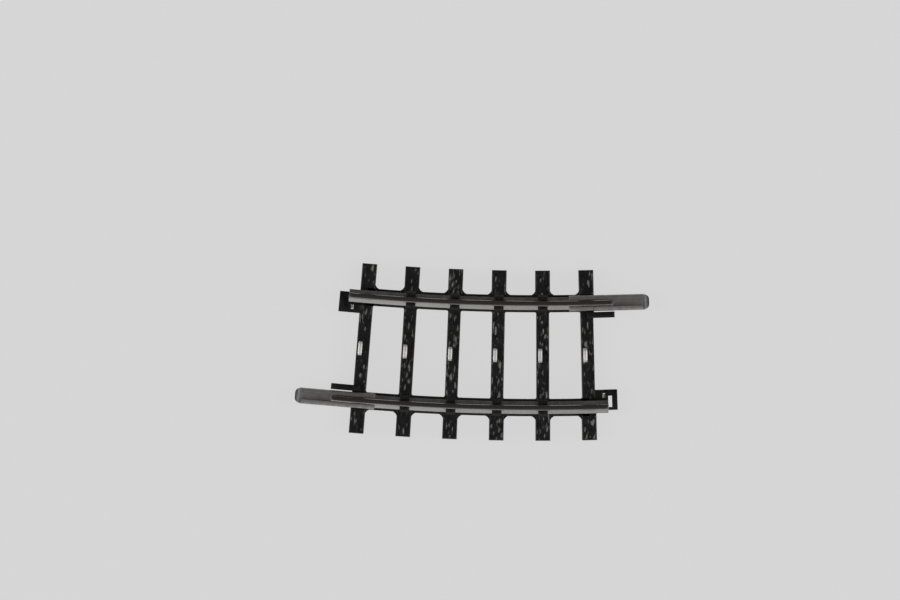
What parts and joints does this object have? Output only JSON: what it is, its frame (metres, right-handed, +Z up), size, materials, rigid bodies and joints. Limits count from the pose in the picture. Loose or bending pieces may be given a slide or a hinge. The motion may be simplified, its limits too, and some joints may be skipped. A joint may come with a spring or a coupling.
{
  "type": "model track section",
  "caption": "Short curved model railway track section with rails on a black sleeper grid, centre studs and a sliding rail joiner at each end.",
  "frame": {"origin": "on the plane the sleepers stand on, midway along the curved centreline and midway between the rails", "axes": "+X along the chord to the right-hand end, +Y to the centre of the curve, +Z up to the rail heads"},
  "size_m": [0.0589, 0.029, 0.0051],
  "materials": {
    "sleeper_plastic": "moulded, fine wood grain",
    "rail_metal": "drawn, polished head",
    "joiner_metal": "rolled sheet",
    "stud_metal": "stamped spring sheet, polished by the pickup",
    "clip_metal": "stamped spring sheet"
  },
  "bodies": {
    "track": {"sleeper_grid": "sleeper_plastic", "inner_rail": "rail_metal", "outer_rail": "rail_metal", "stud_contact_strip": "stud_metal", "inner_rail_contact_clip": "clip_metal", "outer_rail_contact_clip": "clip_metal"},
    "right_joiner": {"inner_rail_joiner": "joiner_metal"},
    "left_joiner": {"outer_rail_joiner": "joiner_metal"}
  },
  "joints": [
    {"name": "right_joiner_slide", "type": "slide", "parent": "track", "child": "right_joiner", "axis": [0.9985, 0.0543, 0], "range_m": [-0.0025, 0.0074]},
    {"name": "left_joiner_slide", "type": "slide", "parent": "track", "child": "left_joiner", "axis": [-0.9985, 0.0548, 0], "range_m": [-0.0025, 0.0074]}
  ]
}
